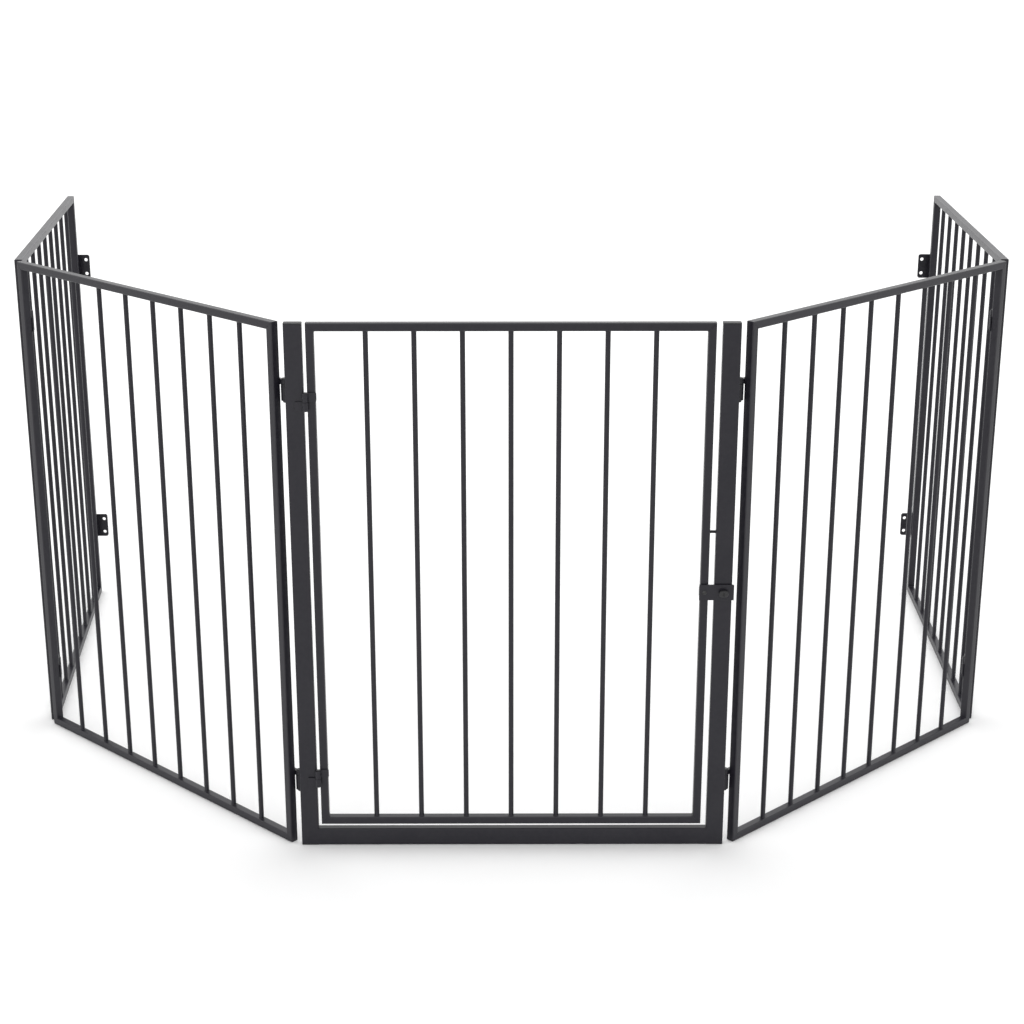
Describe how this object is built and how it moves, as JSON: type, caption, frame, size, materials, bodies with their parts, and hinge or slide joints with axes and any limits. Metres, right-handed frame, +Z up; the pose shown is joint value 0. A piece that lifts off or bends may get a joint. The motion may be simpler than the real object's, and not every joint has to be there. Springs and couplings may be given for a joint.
{
  "type": "fireplace screen",
  "caption": "Five-panel folding hearth gate in black steel: a barred door in a centre frame, hinged side and wall panels, and swivel wall brackets.",
  "frame": {"origin": "underside of the centre frame's sill, middle of its width and depth", "axes": "+X to the right along the centre frame, +Y back towards the wall, +Z up"},
  "size_m": [1.5516, 1.0282, 0.75],
  "materials": {
    "black_powder_coat": "satin black powder coat",
    "black_plastic": "matt black moulded plastic",
    "dark_steel": "blackened steel"
  },
  "bodies": {
    "centre_frame": {"left_post": "black_powder_coat", "right_post": "black_powder_coat", "sill": "black_powder_coat", "post_plugs": "black_plastic", "left_post_eyes": "black_powder_coat", "right_post_eyes": "black_powder_coat", "door_hinge_lower_knuckles": "black_powder_coat", "door_hinge_pins": "dark_steel", "door_stop_pin": "black_powder_coat"},
    "door": {"door_hinge_stile": "black_powder_coat", "door_latch_stile": "black_powder_coat", "door_top_rail": "black_powder_coat", "door_bottom_rail": "black_powder_coat", "door_bars": "black_powder_coat", "door_hinge_upper_knuckles": "black_powder_coat", "latch_strap": "black_powder_coat", "latch_rivet": "dark_steel"},
    "thumb_knob": {"latch_knob": "black_plastic", "latch_spindle": "dark_steel"},
    "left_side_panel": {"left_side_inner_stile": "black_powder_coat", "left_side_outer_stile": "black_powder_coat", "left_side_top_rail": "black_powder_coat", "left_side_bottom_rail": "black_powder_coat", "left_side_bars": "black_powder_coat", "left_side_hook_arms": "black_powder_coat", "left_side_hook_pins": "dark_steel", "left_side_eyes": "black_powder_coat"},
    "left_wall_panel": {"left_wall_inner_stile": "black_powder_coat", "left_wall_outer_stile": "black_powder_coat", "left_wall_top_rail": "black_powder_coat", "left_wall_bottom_rail": "black_powder_coat", "left_wall_bars": "black_powder_coat", "left_wall_hook_arms": "black_powder_coat", "left_wall_hook_pins": "dark_steel", "left_wall_bracket_lugs": "black_powder_coat", "left_wall_bracket_pins": "dark_steel"},
    "left_upper_wall_bracket": {"left_upper_bracket": "black_powder_coat"},
    "left_lower_wall_bracket": {"left_lower_bracket": "black_powder_coat"},
    "right_side_panel": {"right_side_inner_stile": "black_powder_coat", "right_side_outer_stile": "black_powder_coat", "right_side_top_rail": "black_powder_coat", "right_side_bottom_rail": "black_powder_coat", "right_side_bars": "black_powder_coat", "right_side_hook_arms": "black_powder_coat", "right_side_hook_pins": "dark_steel", "right_side_eyes": "black_powder_coat"},
    "right_wall_panel": {"right_wall_inner_stile": "black_powder_coat", "right_wall_outer_stile": "black_powder_coat", "right_wall_top_rail": "black_powder_coat", "right_wall_bottom_rail": "black_powder_coat", "right_wall_bars": "black_powder_coat", "right_wall_hook_arms": "black_powder_coat", "right_wall_hook_pins": "dark_steel", "right_wall_bracket_lugs": "black_powder_coat", "right_wall_bracket_pins": "dark_steel"},
    "right_upper_wall_bracket": {"right_upper_bracket": "black_powder_coat"},
    "right_lower_wall_bracket": {"right_lower_bracket": "black_powder_coat"}
  },
  "joints": [
    {"name": "door_swing", "type": "hinge", "parent": "centre_frame", "child": "door", "pos_m": [-0.26975, -0.0103, 0.105], "axis": [0, 0, -1], "range_deg": [0, 150]},
    {"name": "knob_turn", "type": "hinge", "parent": "door", "child": "thumb_knob", "pos_m": [0.284, -0.006, 0.38], "axis": [0, 1, 0], "range_deg": [0, 90]},
    {"name": "left_side_fold", "type": "hinge", "parent": "centre_frame", "child": "left_side_panel", "pos_m": [-0.298, 0.0115, 0.09], "axis": [0, 0, -1], "range_deg": [-43.5, 16.5]},
    {"name": "left_wall_fold", "type": "hinge", "parent": "left_side_panel", "child": "left_wall_panel", "pos_m": [-0.72452, 0.41625, 0.09], "axis": [0, 0, -1], "range_deg": [-42.1, 47.9]},
    {"name": "left_upper_bracket_swivel", "type": "hinge", "parent": "left_wall_panel", "child": "left_upper_wall_bracket", "pos_m": [-0.78148, 1.00662, 0.621], "axis": [0, 0, -1], "range_deg": [-90, 55]},
    {"name": "left_lower_bracket_swivel", "type": "hinge", "parent": "left_wall_panel", "child": "left_lower_wall_bracket", "pos_m": [-0.78148, 1.00662, 0.129], "axis": [0, 0, -1], "range_deg": [-90, 55]},
    {"name": "right_side_fold", "type": "hinge", "parent": "centre_frame", "child": "right_side_panel", "pos_m": [0.298, 0.0115, 0.09], "axis": [0, 0, 1], "range_deg": [-43.3, 16.7]},
    {"name": "right_wall_fold", "type": "hinge", "parent": "right_side_panel", "child": "right_wall_panel", "pos_m": [0.72593, 0.41476, 0.09], "axis": [0, 0, 1], "range_deg": [-44.6, 45.4]},
    {"name": "right_upper_bracket_swivel", "type": "hinge", "parent": "right_wall_panel", "child": "right_upper_wall_bracket", "pos_m": [0.75915, 1.00694, 0.621], "axis": [0, 0, 1], "range_deg": [-90, 55]},
    {"name": "right_lower_bracket_swivel", "type": "hinge", "parent": "right_wall_panel", "child": "right_lower_wall_bracket", "pos_m": [0.75915, 1.00694, 0.129], "axis": [0, 0, 1], "range_deg": [-90, 55]}
  ]
}
